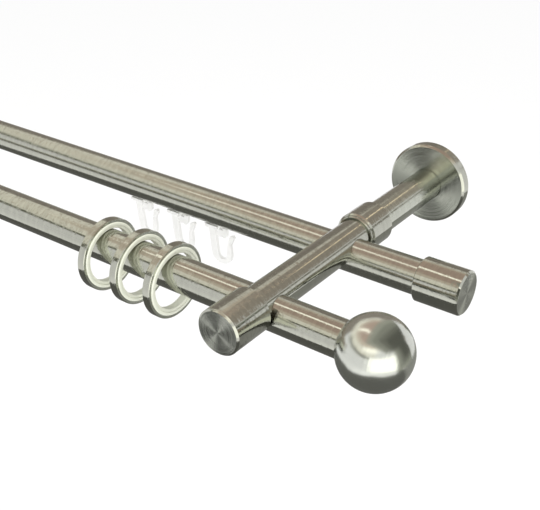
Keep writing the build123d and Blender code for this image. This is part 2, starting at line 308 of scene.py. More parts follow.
@dataclass(frozen=True)
class TurnedSteel:
    """Steel ground or turned round an axis, with fine lines that run round it. Its end faces carry a painted
    tone and painted highlight rays that stand in for their reflections.
    """

    name: str
    axis: Axis
    colour: Triple = (0.50, 0.505, 0.445)
    # The end faces' colour is the steel's tone with painted shade or painted reflection, set darker or
    # lighter for each piece.
    face_colour_and_painted_light: Triple = (0.20, 0.208, 0.18)
    painted_ray_gain: float = 2.7
    shade: float = 0.86
    roughness: float = 0.08
    roughness_spread: float = 0.04
    tick_strength: float = 0.10
    line_lean: float = 0.10
    face_lean: float = 1.3
    lines_per_mm: float = 26.0
    ticks_per_mm: float = 2.6
    streaks_per_mm: float = 0.45
    # Shape of the painted highlight rays on the end faces.
    painted_ray_sharpness: float = 7.0
    painted_ray_way: Pair = (0.5, 0.87)

    def make(self) -> bpy.types.Material:
        """Builds the material.

        Returns:
            The material.
        """
        material = bpy.data.materials.new(self.name)
        tree = Tree(material)
        x, y, z = tree.place()
        along, side = (x, y) if self.axis.along is Along.X else (y, x)
        side = side - self.axis.across
        top = z - self.axis.up
        radius = (side * side + top * top).root()
        travel = along + radius
        fine = tree.noise(travel * self.lines_per_mm, side * 0.02, top * 0.02, 1.0)
        ticks = tree.noise(travel * self.ticks_per_mm, side * 0.3, top * 0.3, 1.0).step(0.56, 0.78)
        wide = tree.noise(travel * self.streaks_per_mm, side * 0.12, top * 0.12, 2.0)
        smudge = tree.noise(x * 0.05, y * 0.05, z * 0.05, 4.0)
        normal = tree.node("ShaderNodeNewGeometry").outputs["Normal"]
        parts = tree.node("ShaderNodeSeparateXYZ", None, {0: normal}).outputs
        facing = Val(tree, parts[self.axis.along.value.upper()])
        face = (facing * facing).step(0.5, 0.9)
        darker = tuple(part * self.shade for part in self.colour)
        grain = (fine * 0.55 + wide * 0.45).step(0.35, 0.65)
        # Painted highlight: two bright wedges across each end face, painted into the colour where a turned
        # face would reflect light.
        short, long = self.painted_ray_way
        high = ((side * short + top * long) / radius) ** 2.0
        low = ((side * long - top * short) / radius) ** 2.0
        painted_rays = high**self.painted_ray_sharpness + low**self.painted_ray_sharpness * 0.5
        painted_ray_colour = tuple(min(part * self.painted_ray_gain, 0.95) for part in self.face_colour_and_painted_light)
        face_with_painted_rays = tree.mix(painted_rays, self.face_colour_and_painted_light, painted_ray_colour)
        colour = tree.mix(face, tree.mix(grain, darker, self.colour), face_with_painted_rays)
        spread = self.roughness_spread
        roughness = self.roughness + (smudge - 0.5) * spread + (wide - 0.5) * spread
        lean = fine - 0.5
        outward = lean * face * self.face_lean / radius
        onward = lean * (1.0 - face) * self.line_lean
        if self.axis.along is Along.X:
            own = tree.tilt(onward, side * outward, top * outward)
        else:
            own = tree.tilt(side * outward, onward, top * outward)
        inputs = {
            "Base Color": colour,
            "Metallic": 1.0,
            "Roughness": roughness,
            "Normal": tree.bump(ticks * (1.0 - face), self.tick_strength, 1.0, own),
        }
        tree.surface(tree.node("ShaderNodeBsdfPrincipled", None, inputs))
        return material


@dataclass(frozen=True)
class BallSteel:
    """Satin steel of a turned ball, whose fine lines run round the rod's axis."""

    name: str
    axis: Axis
    centre: float
    colour: Triple = (0.66, 0.675, 0.62)
    roughness: float = 0.18
    lean: float = 0.5
    lines_per_mm: float = 20.0

    def make(self) -> bpy.types.Material:
        """Builds the material.

        Returns:
            The material.
        """
        material = bpy.data.materials.new(self.name)
        tree = Tree(material)
        x, y, z = tree.place()
        along = x - self.centre
        side = y - self.axis.across
        top = z - self.axis.up
        radius = (side * side + top * top).root()
        travel = radius.turn_to(along) * BALL_RADIUS
        fine = tree.noise(travel * self.lines_per_mm, side * 0.02, top * 0.02, 2.0)
        smudge = tree.noise(x * 0.08, y * 0.08, z * 0.08, 4.0)
        onward = (fine - 0.5) * (self.lean / BALL_RADIUS)
        around = onward * along / radius * -1.0
        colour = tree.mix(fine.step(0.3, 0.7), tuple(part * 0.9 for part in self.colour), self.colour)
        inputs = {
            "Base Color": colour,
            "Metallic": 1.0,
            "Roughness": self.roughness + (smudge - 0.5) * 0.10,
            "Normal": tree.tilt(onward * radius, around * side, around * top),
        }
        tree.surface(tree.node("ShaderNodeBsdfPrincipled", None, inputs))
        return material


@dataclass(frozen=True)
class Clouded:
    """A surface with soft clouds of a second tone and a fine grain. Each noise is its scale and detail."""

    name: str
    colour: Triple
    tint: Triple
    roughness: float
    roughness_spread: float = 0.2
    clouds: Pair = (0.5, 5.0)
    tones: Pair = (0.35, 0.65)
    grains: Pair = (9.0, 2.0)
    grain: float = 0.5
    grain_depth: float = 0.01
    metallic: float = 1.0
    ior: float = 1.5

    def make(self) -> bpy.types.Material:
        """Builds the material.

        Returns:
            The material.
        """
        material = bpy.data.materials.new(self.name)
        tree = Tree(material)
        x, y, z = tree.place()
        kinds = (self.clouds, self.grains)
        cloud, grain = [tree.noise(x * scale, y * scale, z * scale, detail) for scale, detail in kinds]
        inputs = {
            "Base Color": tree.mix(cloud.step(*self.tones), self.tint, self.colour),
            "Metallic": self.metallic,
            "Roughness": self.roughness + (cloud - 0.5) * self.roughness_spread,
            "IOR": self.ior,
            "Normal": tree.bump(grain, self.grain, self.grain_depth),
        }
        tree.surface(tree.node("ShaderNodeBsdfPrincipled", None, inputs))
        return material


@dataclass(frozen=True)
class DarkSteel(Clouded):
    """Blackened steel of the grub and clamp screws, and zinc-coated steel of the wall plates."""


@dataclass(frozen=True)
class PolishedEdge(Clouded):
    """Bright steel of a chamfer cut by the last pass of the tool."""

    colour: Triple = (0.86, 0.86, 0.78)
    tint: Triple = (0.688, 0.688, 0.624)
    roughness: float = 0.14
    roughness_spread: float = 0.08
    clouds: Pair = (0.8, 4.0)
    tones: Pair = (0.3, 0.7)
    grains: Pair = (0.8, 4.0)
    grain: float = 0.3


@dataclass(frozen=True)
class Moulding(Clouded):
    """Moulded plastic with a faint grain and slightly uneven gloss."""

    roughness: float = 0.38
    roughness_spread: float = 0.12
    clouds: Pair = (0.18, 3.0)
    tones: Pair = (0.3, 0.7)
    grains: Pair = (6.0, 2.0)
    grain: float = 0.35
    grain_depth: float = 0.02
    metallic: float = 0.0
    ior: float = 1.49


@dataclass(frozen=True)
class Corner:
    """One corner of a turned profile: its place, radius, rounding and the surface that starts there."""

    place: float
    radius: float
    rounding: float = 0.0
    surface: Surface = Surface.BODY


def rounded(corners: list[Corner], closed: bool) -> list[tuple[float, float, int]]:
    """Rounds a profile's corners.

    Args:
        corners: The corners in order.
        closed: Whether the last corner joins the first.

    Returns:
        Place, radius and material slot of each point.
    """
    points = []
    count = len(corners)
    for index, corner in enumerate(corners):
        here = Vector((corner.place, corner.radius))
        ends = not closed and index in (0, count - 1)
        if ends or corner.rounding <= 0:
            points.append((here.x, here.y, corner.surface.value))
            continue
        before = corners[index - 1]
        after = corners[(index + 1) % count]
        back = Vector((before.place, before.radius)) - here
        on = Vector((after.place, after.radius)) - here
        bend = back.angle(on) / 2
        reach = min(corner.rounding / math.tan(bend), back.length * 0.45, on.length * 0.45)
        start = here + back.normalized() * reach
        end = here + on.normalized() * reach
        for part in range(ROUNDING_STEPS + 1):
            share = part / ROUNDING_STEPS
            point = start.lerp(here, share).lerp(here.lerp(end, share), share)
            slot = corner.surface.value if part == ROUNDING_STEPS else before.surface.value
            points.append((point.x, point.y, slot))
    return points


def finished(name: str, mesh_maker: bmesh.types.BMesh, sharp_degrees: float = SHARP_DEGREES) -> Piece:
    """Turns a built mesh into an object with clean shading.

    Args:
        name: The piece's name.
        mesh_maker: The built mesh, which is freed.
        sharp_degrees: Edges that bend more than this stay crisp.

    Returns:
        The object.
    """
    bmesh.ops.recalc_face_normals(mesh_maker, faces=mesh_maker.faces)
    mesh = bpy.data.meshes.new(name)
    mesh_maker.to_mesh(mesh)
    mesh_maker.free()
    mesh.polygons.foreach_set("use_smooth", [True] * len(mesh.polygons))
    mesh.set_sharp_from_angle(angle=math.radians(sharp_degrees))
    piece = bpy.data.objects.new(name, mesh)
    bpy.context.scene.collection.objects.link(piece)
    return piece


def even_shading(piece: Piece) -> None:
    """Makes the large faces of a piece shade flat and true."""
    weighted = piece.modifiers.new("even_shading", "WEIGHTED_NORMAL")
    weighted.keep_sharp = True
    weighted.weight = 100


def turned(name: str, axis: Axis, corners: list[Corner], closed: bool = True) -> Piece:
    """Turns a profile round an axis.

    Args:
        name: The piece's name.
        axis: The axis.
        corners: The profile's corners. An open profile starts and ends on the axis.
        closed: Whether the profile is a closed ring section.

    Returns:
        The piece.
    """
    made = bmesh.new()
    profile = rounded(corners, closed)
    rings = []
    for place, radius, _ in profile:
        if radius < 1e-6:
            rings.append([made.verts.new(axis.at(place, 0, 0))])
            continue
        turn = [math.tau * step / AROUND for step in range(AROUND)]
        rings.append([made.verts.new(axis.at(place, radius, angle)) for angle in turn])
    pairs = [(index, index + 1) for index in range(len(rings) - 1)]
    if closed:
        pairs.append((len(rings) - 1, 0))
    for first, second in pairs:
        low, high = rings[first], rings[second]
        for step in range(AROUND):
            after = (step + 1) % AROUND
            around = [low[step % len(low)], low[after % len(low)]]
            around += [high[after % len(high)], high[step % len(high)]]
            face = made.faces.new(list(dict.fromkeys(around)))
            face.material_index = profile[first][2]
    return finished(name, made)


def cap_corners(end: float, out: int) -> list[Corner]:
    """Works out the profile of a cap over a bar's end.

    Args:
        end: The bar's end along its axis.
        out: The way out of the bar, 1 or -1.

    Returns:
        The corners of the open profile.
    """
    face, mouth = end + out * 3.0, end - out * 23.0
    return [
        Corner(face, 0.0),
        Corner(face, SLEEVE_RADIUS - 1.0, 0.12, Surface.EDGE),
        Corner(face - out, SLEEVE_RADIUS, 0.12),
        Corner(mouth + out * 0.5, SLEEVE_RADIUS, 0.12),
        Corner(mouth, SLEEVE_RADIUS - 0.5, 0.1),
        Corner(mouth, SLEEVE_BORE, 0.15),
        Corner(end, SLEEVE_BORE, 0.1),
        Corner(end, 0.0),
    ]


def join(made: bmesh.types.BMesh, low: list, high: list) -> None:
    """Joins two loops of as many points with a wall of faces.

    Args:
        made: The mesh.
        low: The first loop.
        high: The second loop.
    """
    for step in range(len(low)):
        after = (step + 1) % len(low)
        made.faces.new((low[step], low[after], high[after], high[step]))


def screw_hole(centre: Vector, way: Vector, length: float) -> Piece:
    """Makes the solid that cuts a grub screw's threaded hole.

    Args:
        centre: Its inner end, in mm.
        way: The way out of it.
        length: Its length, in mm.

    Returns:
        The cutting solid.
    """
    made = bmesh.new()
    side = Vector((1, 0, 0))
    other = way.cross(side)
    turn = [math.tau * step / HOLE_SIDES for step in range(HOLE_SIDES)]
    rim = [(side * math.cos(angle) + other * math.sin(angle)) * HOLE_RADIUS for angle in turn]
    ends = (centre, centre + way * length)
    inner, outer = [[made.verts.new((end + point) * MM) for point in rim] for end in ends]
    join(made, inner, outer)
    made.faces.new(inner)
    made.faces.new(outer)
    return finished("hole", made)


def carve(piece: Piece, cutters: list[Piece]) -> None:
    """Cuts other solids out of a piece for good.

    Args:
        piece: The piece.
        cutters: The solids, which are deleted.
    """
    for cutter in cutters:
        cut = piece.modifiers.new("cut", "BOOLEAN")
        cut.operation = "DIFFERENCE"
        cut.solver = "EXACT"
        cut.object = cutter
        bpy.context.view_layer.update()
        solved = piece.evaluated_get(bpy.context.evaluated_depsgraph_get())
        carved = bpy.data.meshes.new_from_object(solved)
        piece.modifiers.remove(cut)
        piece.data = carved
        bpy.data.objects.remove(cutter)
    piece.data.set_sharp_from_angle(angle=math.radians(SHARP_DEGREES))


def dress(piece: Piece, body: str, nodes: list[str], finishes: list) -> None:
    """Gives a piece its finishes and its body, hides the CAD nodes that it stands for and logs it.

    Args:
        piece: The piece.
        body: The body that carries it.
        nodes: The CAD nodes that it stands for.
        finishes: One finish for each material slot.
    """
    piece.data.materials.clear()
    for finish in finishes:
        piece.data.materials.append(finish.make())
    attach(piece, body)
    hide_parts(*nodes)
    log.info("%s: %d faces on %s", piece.name, len(piece.data.polygons), body)


@dataclass
class Bracket:
    """One bracket: rosette, stub, collar, arm and arm cap."""

    side: Side
    place: float
    joint: float = -83.5
    front: float = -214.2

    def axis(self) -> Axis:
        """Gives the bracket's axis."""
        return Axis(Along.Y, self.place, 0.0)

    def name(self, part: str) -> str:
        """Gives a piece's node name."""
        return f"{self.side.value}_{part}"

    def build(self) -> None:
        """Builds and dresses all the bracket's pieces."""
        self.build_rosette()
        self.build_stub()
        self.build_collar()
        self.build_arm()
        self.build_arm_cap()

    def hole_below(self, place: float, start: float, end: float) -> Piece:
        """Makes the solid that cuts a grub screw's hole between two depths below the axis."""
        return screw_hole(Vector((self.place, place, -start)), Vector((0, 0, -1)), end - start)

    def build_rosette(self) -> None:
        """Builds the turned cup over the wall plate."""
        corners = [
            Corner(-7.0, SLEEVE_BORE, 0.25),
            Corner(-7.0, 24.5, 0.12, Surface.EDGE),
            Corner(-5.7, 25.8, 0.12),
            Corner(0.0, 25.8, 0.15),
            Corner(0.0, 23.4, 0.1),
            Corner(-5.0, 23.4, 0.1),
            Corner(-5.0, SLEEVE_BORE, 0.1),
        ]
        rosette = turned(self.name("rosette_cup"), self.axis(), corners)
        carve(rosette, [self.hole_below(-2.1, 22.0, 27.0)])
        even_shading(rosette)
        # The rosette's face takes the default painted face tone and painted highlight rays.
        finish = TurnedSteel("rosette_face", self.axis())
        dress(rosette, "root", [self.name("rosette")], [finish, PolishedEdge("rosette_edge")])

    def build_stub(self) -> None:
        """Builds the bar between the wall plate and the collar."""
        corners = [
            Corner(-18.6, 0.0),
            Corner(-18.6, 4.03, 0.1),
            Corner(-4.2, 4.03, 0.1),
            Corner(-4.2, 9.6, 0.1),
            Corner(-4.6, BAR_RADIUS, 0.1),
            Corner(self.joint + 0.4, BAR_RADIUS, 0.1),
            Corner(self.joint, 9.6, 0.1),
            Corner(self.joint, 0.0),
        ]
        stub = turned(self.name("stub_bar"), self.axis(), corners, closed=False)
        even_shading(stub)
        # Painted reflection: the stub's steel is painted lighter than the other bars, for the rosette that
        # it reflects.
        finish = TurnedSteel("stub_steel_painted_reflection", self.axis(), colour=(0.56, 0.575, 0.505), line_lean=0.25)
        dress(stub, "root", [self.name("stub")], [finish])

    def build_collar(self) -> None:
        """Builds the sleeve between stub and arm, with its stepped nose."""
        corners = [
            Corner(-94.3, SLEEVE_BORE, 0.15, Surface.EDGE),
            Corner(-94.3, 10.9, 0.1, Surface.EDGE),
            Corner(-93.8, 11.4, 0.1),
            Corner(-93.0, 11.4, 0.08),
            Corner(-93.0, 11.6, 0.1, Surface.EDGE),
            Corner(-92.1, SLEEVE_RADIUS, 0.12),
            Corner(-73.2, SLEEVE_RADIUS, 0.12),
            Corner(-72.7, 12.0, 0.1),
            Corner(-72.7, SLEEVE_BORE, 0.15),
        ]
        collar = turned(self.name("collar_sleeve"), self.axis(), corners)
        carve(collar, [self.hole_below(place, 9.9, 14.0) for place in (-78.1, -88.9)])
        even_shading(collar)
        finishes = [TurnedSteel("collar_steel", self.axis()), PolishedEdge("collar_edge")]
        dress(collar, "root", [self.name("collar")], finishes)

    def build_arm(self) -> None:
        """Builds the bar that both runs pass through."""
        front, back = self.front, self.joint
        corners = [
            Corner(front, 0.0),
            Corner(front, 9.6, 0.1),
            Corner(front + 0.4, BAR_RADIUS, 0.1),
            Corner(back - 0.4, BAR_RADIUS, 0.1),
            Corner(back, 9.6, 0.1),
            Corner(back, 0.0),
        ]
        arm = turned(self.name("arm_bar"), self.axis(), corners, closed=False)
        cutters = []
        for run in (TRACK_REACH, TUBE_REACH):
            bore = Axis(Along.X, run, RUN_DROP)
            ends = [Corner(self.place - 12, 0.0), Corner(self.place - 12, 10.12)]
            ends += [Corner(self.place + 12, 10.12), Corner(self.place + 12, 0.0)]
            cutters.append(turned("bore", bore, ends, closed=False))
        carve(arm, cutters)
        even_shading(arm)
        dress(arm, "root", [self.name("arm")], [TurnedSteel("arm_steel", self.axis())])

    def build_arm_cap(self) -> None:
        """Builds the cap over the arm's front end."""
        corners = cap_corners(self.front, -1)
        cap = turned(self.name("arm_cap_sleeve"), self.axis(), corners, closed=False)
        carve(cap, [self.hole_below(-205.0, 9.9, 14.0)])
        even_shading(cap)
        # Painted shade: the arm cap's end face is painted darker than the rosette's.
        steel = TurnedSteel("arm_cap_steel", self.axis(), face_colour_and_painted_light=(0.155, 0.16, 0.142))
        finishes = [steel, PolishedEdge("arm_cap_edge")]
        dress(cap, "root", [self.name("arm_cap")], finishes)


@dataclass
class FrontTube:
    """The round tube that carries the rings."""

    wall: float = 1.2

    def build(self) -> None:
        """Builds and dresses the tube."""
        axis = Axis(Along.X, TUBE_REACH, RUN_DROP)
        inner = BAR_RADIUS - self.wall
        corners = [
            Corner(RUN_LEFT, inner, 0.1),
            Corner(RUN_LEFT, BAR_RADIUS, 0.1),
            Corner(RUN_RIGHT, BAR_RADIUS, 0.1),
            Corner(RUN_RIGHT, inner, 0.1),
        ]
        tube = turned("tube_run", axis, corners)
        even_shading(tube)
        dress(tube, "root", ["front_tube"], [TurnedSteel("tube_steel", axis)])


@dataclass
class RearTrack:
    """The round inner-run track with its chamber, channel and slot."""

    chamber_radius: float = 8.4
    web_top: float = -0.6
    channel_top: float = -2.0
    channel_floor: float = -6.8
    channel_half: float = 5.4
    slot_half: float = 2.5
    shell_steps: int = 120
    chamber_steps: int = 60

    def outline(self) -> tuple[list[Pair], list[Pair]]:
        """Works out the section.

        Returns:
            The outer loop, which takes in slot and channel, and the chamber's loop, as (y, z) in mm.
        """
        slot_angle = math.asin(self.slot_half / BAR_RADIUS)
        start, end = -math.pi / 2 + slot_angle, 1.5 * math.pi - slot_angle
        outer = []
        for step in range(self.shell_steps + 1):
            angle = start + (end - start) * step / self.shell_steps
            outer.append((BAR_RADIUS * math.cos(angle), BAR_RADIUS * math.sin(angle)))
        half, floor, top = self.channel_half, self.channel_floor, self.channel_top
        outer += [(-self.slot_half, floor), (-half, floor), (-half, top), (half, top), (half, floor)]
        outer.append((self.slot_half, floor))
        low = math.asin(self.web_top / self.chamber_radius)
        chamber = []
        for step in range(self.chamber_steps + 1):
            angle = low + (math.pi - 2 * low) * step / self.chamber_steps
            chamber.append((self.chamber_radius * math.cos(angle), self.chamber_radius * math.sin(angle)))
        return outer, chamber

    def build(self) -> None:
        """Builds and dresses the track."""
        made = bmesh.new()
        ends = {RUN_LEFT: [], RUN_RIGHT: []}
        for loop in self.outline():
            rings = {}
            for place in ends:
                points = [Vector((place, TRACK_REACH + y, RUN_DROP + z)) * MM for y, z in loop]
                rings[place] = [made.verts.new(point) for point in points]
            join(made, rings[RUN_LEFT], rings[RUN_RIGHT])
            for place, ring in rings.items():
                pairs = zip(ring, [*ring[1:], ring[0]])
                ends[place] += [made.edges.get(pair) for pair in pairs]
        for edges in ends.values():
            bmesh.ops.triangle_fill(made, use_beauty=True, edges=edges)
        track = finished("track_run", made, 20.0)
        even_shading(track)
        axis = Axis(Along.X, TRACK_REACH, RUN_DROP)
        finish = TurnedSteel("track_steel", axis, roughness=0.15)
        dress(track, "root", ["rear_track"], [finish])


@dataclass
class RunEnd:
    """The ball on one end of the tube and the cap on the same end of the track."""

    side: Side
    end: float
    direction: int
    ball_seat: float = 8.8

    def build(self) -> None:
        """Builds and dresses both pieces."""
        self.build_ball()
        self.build_cap()

    def build_ball(self) -> None:
        """Builds the turned ball with its blind bore."""
        axis = Axis(Along.X, TUBE_REACH, RUN_DROP)
        centre = self.end - self.direction * self.ball_seat
        mouth = math.asin(SLEEVE_BORE / BALL_RADIUS)
        steps = 72
        corners = [Corner(self.end, 0.0), Corner(self.end, SLEEVE_BORE, 0.1)]
        for step in range(steps + 1):
            angle = mouth + (math.pi - mouth) * step / steps
            radius = BALL_RADIUS * math.sin(angle) if step < steps else 0.0
            rounding = 0.15 if step == 0 else 0.0
            place = centre - self.direction * BALL_RADIUS * math.cos(angle)
            corners.append(Corner(place, radius, rounding))
        ball = turned(f"{self.side.value}_ball_finial", axis, corners, closed=False)
        screw_place = self.end - self.direction * (self.ball_seat + 11.52)
        screw = Vector((screw_place, TUBE_REACH, RUN_DROP - 9.9))
        carve(ball, [screw_hole(screw, Vector((0, 0, -1)), 12.0)])
        finish = BallSteel("ball_steel", axis, centre)
        dress(ball, "root", [f"{self.side.value}_ball"], [finish])

    def build_cap(self) -> None:
        """Builds the cap over the track's end."""
        axis = Axis(Along.X, TRACK_REACH, RUN_DROP)
        corners = cap_corners(self.end, self.direction)
        cap = turned(f"{self.side.value}_end_cap_sleeve", axis, corners, closed=False)
        screw = Vector((self.end - self.direction * 11.5, TRACK_REACH + 9.9, RUN_DROP))
        carve(cap, [screw_hole(screw, Vector((0, 1, 0)), 6.0)])
        even_shading(cap)
        # Painted light: the end cap's face is painted lighter, with weaker painted highlight rays.
        steel = TurnedSteel("end_cap_steel", axis, face_colour_and_painted_light=(0.42, 0.43, 0.385), painted_ray_gain=2.0)
        finishes = [steel, PolishedEdge("end_cap_edge")]
        dress(cap, "root", [f"{self.side.value}_end_cap"], finishes)


@dataclass
class CurtainRing:
    """A curtain ring: a steel band pressed over a plastic insert."""

    number: int
    place: float
    centre: float = -10.7
    band_radius: float = 21.5
    band_half: float = 2.5
    insert_radius: float = 19.6
    insert_bore: float = 16.0
    insert_half: float = 3.0
    lip_radius: float = 17.7
    lip_depth: float = 0.7

    def build(self) -> None:
        """Builds and dresses band and insert."""
        body = f"ring_{self.number}"
        axis = Axis(Along.X, TUBE_REACH, self.centre)
        left, right = self.place - self.band_half, self.place + self.band_half
        inner, edge = self.insert_radius + 0.03, self.band_radius - 0.35
        corners = [
            Corner(left, inner, 0.1),
            Corner(left, edge, 0.08, Surface.EDGE),
            Corner(left + 0.35, self.band_radius, 0.1),
            Corner(right - 0.35, self.band_radius, 0.1, Surface.EDGE),
            Corner(right, edge, 0.08),
            Corner(right, inner, 0.1),
        ]
        band = turned(f"{body}_steel_band", axis, corners)
        even_shading(band)
        # Painted light: the band's side faces are painted lighter, with faint painted highlight rays.
        steel = TurnedSteel("ring_steel", axis, face_colour_and_painted_light=(0.60, 0.62, 0.54), painted_ray_gain=1.0)
        finishes = [steel, PolishedEdge("ring_edge")]
        dress(band, body, [f"{body}_band"], finishes)
        left, right = self.place - self.insert_half, self.place + self.insert_half
        half = [
            (self.lip_depth + 0.3, self.insert_bore, 0.2),
            (self.lip_depth, self.insert_bore + 0.3, 0.2),
            (self.lip_depth, self.lip_radius, 0.2),
            (0.0, self.lip_radius + 0.2, 0.2),
            (0.0, self.insert_radius - 0.5, 0.3),
            (0.5, self.insert_radius, 0.15),
        ]
        corners = [Corner(left + depth, *rest) for depth, *rest in half]
        corners += [Corner(right - depth, *rest) for depth, *rest in reversed(half)]
        insert = turned(f"{body}_plastic_insert", axis, corners)
        even_shading(insert)
        finish = Moulding("ring_plastic", (0.88, 0.90, 0.77), (0.84, 0.86, 0.73))
        dress(insert, body, [f"{body}_insert"], [finish])


@dataclass
class Glider:
    """A moulded glider, one soft-edged piece from the head in the track down to the hook."""

    number: int
    place: float
    head: tuple[float, ...] = (-6.1, 2.9, -5.1, 5.1, -11.5, -7.3)
    neck: tuple[float, ...] = (-4.6, 1.4, -2.1, 2.1, -17.0, -11.0)
    wing: tuple[float, ...] = (-1.6, 19.5, -2.1, 2.1, -15.6, -13.2)
    flange: tuple[float, ...] = (-9.8, 0.0, -4.0, 4.0, -17.7, -15.5)
    hub: tuple[float, ...] = (-1.4, 4.4, -2.4, 2.4, -22.3, -15.5)
    notch: tuple[float, ...] = (0.9, 4.0, -3.0, -1.2, -17.6, -15.0)
    latch_depth: Pair = (-3.0, -1.6)
    hook_depth: Pair = (-1.1, 1.1)
    outer_arc: Triple = (1.15, -34.3, 8.0)
    inner_arc: Triple = (1.75, -35.3, 3.4)
    fineness: float = 0.16

    def point(self, x: float, y: float, z: float) -> Vector:
        """Gives a point of this glider in the part's frame, in metres."""
        return Vector((self.place + x, TRACK_REACH + y, z)) * MM

    def block(self, sizes: tuple[float, ...]) -> Piece:
        """Builds a plain block.

        Args:
            sizes: Low and high x, y and z in mm, from the hook's middle and the track's axis.

        Returns:
            The block.
        """
        low_x, high_x, low_y, high_y, low_z, high_z = sizes
        loop = [(low_x, low_z), (high_x, low_z), (high_x, high_z), (low_x, high_z)]
        return self.plate("block", loop, (low_y, high_y))

    def plate(self, name: str, loop: list[Pair], depth: Pair) -> Piece:
        """Builds a flat plate from its outline.

        Args:
            name: The plate's name.
            loop: The outline as (x, z) in mm.
            depth: Its front and back in mm from the track's axis.

        Returns:
            The plate.
        """
        made = bmesh.new()
        front, back = [[made.verts.new(self.point(x, y, z)) for x, z in loop] for y in depth]
        made.faces.new(front)
        made.faces.new(list(reversed(back)))
        join(made, front, back)
        return finished(name, made)

    @staticmethod
    def touch(start: Pair, arc: Triple, side: int) -> float:
        """Finds where a straight leg runs into a bend.

        Args:
            start: The leg's start.
            arc: The bend's centre and radius.
            side: The bend's side that the leg meets, 1 or -1.

        Returns:
            The angle on the bend, in radians.
        """
        across, up = start[0] - arc[0], start[1] - arc[1]
        return math.atan2(up, across) + side * math.acos(arc[2] / math.hypot(across, up))

    def hook_loop(self) -> list[Pair]:
        """Works out the hook's outline.

        Returns:
            The outline as (x, z) in mm.
        """
        top_left, top_right = (-9.0, -16.6), (-3.9, -16.6)
        waist_left, waist_right = (6.1, -27.2), (8.5, -27.2)
        loop = [top_left]
        start = self.touch(top_left, self.outer_arc, 1)
        end = self.touch(waist_right, self.outer_arc, -1) + math.tau
        loop += self.bend(self.outer_arc, start, end)
        loop += [waist_right, (11.2, -21.5), (10.1, -20.1), (7.3, -21.5), waist_left]
        start = self.touch(waist_left, self.inner_arc, -1) + math.tau
        end = self.touch(top_right, self.inner_arc, 1)
        loop += self.bend(self.inner_arc, start, end)
        return [*loop, top_right]

    @staticmethod
    def bend(arc: Triple, start: float, end: float) -> list[Pair]:
        """Steps round a bend.

        Args:
            arc: The bend's centre and radius.
            start: The first angle.
            end: The last angle.

        Returns:
            The points as (x, z) in mm.
        """
        turns = [start + (end - start) * step / 24 for step in range(25)]
        return [(arc[0] + arc[2] * math.cos(turn), arc[1] + arc[2] * math.sin(turn)) for turn in turns]

    def build(self) -> None:
        """Builds and dresses the glider."""
        latch_loop = [(4.0, -15.5), (7.4, -15.5), (7.4, -20.5), (5.4, -22.5), (4.0, -22.5)]
        parts = [self.block(sizes) for sizes in (self.head, self.neck, self.wing, self.flange)]
        hub = self.block(self.hub)
        carve(hub, [self.block(self.notch)])
        parts += [hub, self.plate("latch", latch_loop, self.latch_depth)]
        parts.append(self.plate("hook", self.hook_loop(), self.hook_depth))
        joined = bmesh.new()
        for part in parts:
            joined.from_mesh(part.data)
            bpy.data.objects.remove(part)
        glider = finished(f"glider_{self.number}_moulding", joined)
        soft = glider.modifiers.new("one_piece", "REMESH")
        soft.mode = "VOXEL"
        soft.voxel_size = self.fineness * MM
        soft.use_smooth_shade = True
        edges = glider.modifiers.new("soft_edges", "SMOOTH")
        edges.iterations = 3
        edges.factor = 0.5
        colour, tint = (0.98, 0.98, 0.965), (0.95, 0.95, 0.93)
        finish = Moulding("glider_plastic", colour, tint, roughness=0.30, grain=0.05)
        dress(glider, f"glider_{self.number}", [f"glider_{self.number}"], [finish])


@dataclass
class Hardware:
    """The wall plates and all screws. Their CAD shapes are right and get their finishes here."""

    def build(self) -> None:
        """Dresses the CAD pieces."""
        zinc = DarkSteel("plate_zinc", (0.52, 0.53, 0.54), (0.44, 0.45, 0.46), 0.38)
        screw = DarkSteel("screw_black", (0.10, 0.10, 0.105), (0.06, 0.06, 0.065), 0.42)
        for node, finish in {
            "right_wall_plate": zinc,
            "left_wall_plate": zinc,
            "grub_screws": screw,
            "clamp_screws": screw,
        }.items():
            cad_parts[node].material_slots[0].material = finish.make()
            log.info("%s: dressed", node)


def glowing(card: Piece, colour: Triple) -> None:
    """Makes a card glow plainly and show only in reflections.

    Args:
        card: The card.
        colour: Its colour.
    """
    material = bpy.data.materials.new(card.name)
    tree = Tree(material)
    tree.surface(tree.node("ShaderNodeEmission", None, {"Color": (*colour, 1)}))
    card.data.materials.append(material)
    card.visible_camera = False
    card.visible_diffuse = False
    card.visible_transmission = False
    card.visible_shadow = False


@dataclass
class Panel:
    """A curved panel round the object that shows only in its reflections."""

    name: str
    turn: Pair
    rise: Pair
    colour: Triple
    distance: float = 2.0
    lean: float = 0.0

    def spot(self, turn: float, rise: float) -> Vector:
        """Gives a point of the panel.

        Args:
            turn: Angle round the object from +X, in degrees.
            rise: Angle above the floor, in degrees.

        Returns:
            The point in metres.
        """
        turned_by, raised_by = math.radians(turn), math.radians(rise)
        level = math.cos(raised_by)
        way = Vector((math.cos(turned_by) * level, math.sin(turned_by) * level, math.sin(raised_by)))
        return Vector(MIDDLE) + way * self.distance

    def build(self) -> None:
        """Builds the panel."""
        made = bmesh.new()
        columns, rows = 24, 8
        grid = []
        for column in range(columns + 1):
            share = column / columns
            turn = self.turn[0] + (self.turn[1] - self.turn[0]) * share
            rises = [self.rise[0] + (self.rise[1] - self.rise[0]) * row / rows for row in range(rows + 1)]
            grid.append([made.verts.new(self.spot(turn, rise + self.lean * share)) for rise in rises])
        for column in range(columns):
            for row in range(rows):
                low, high = grid[column], grid[column + 1]
                made.faces.new((low[row], high[row], high[row + 1], low[row + 1]))
        glowing(finished(self.name, made), self.colour)


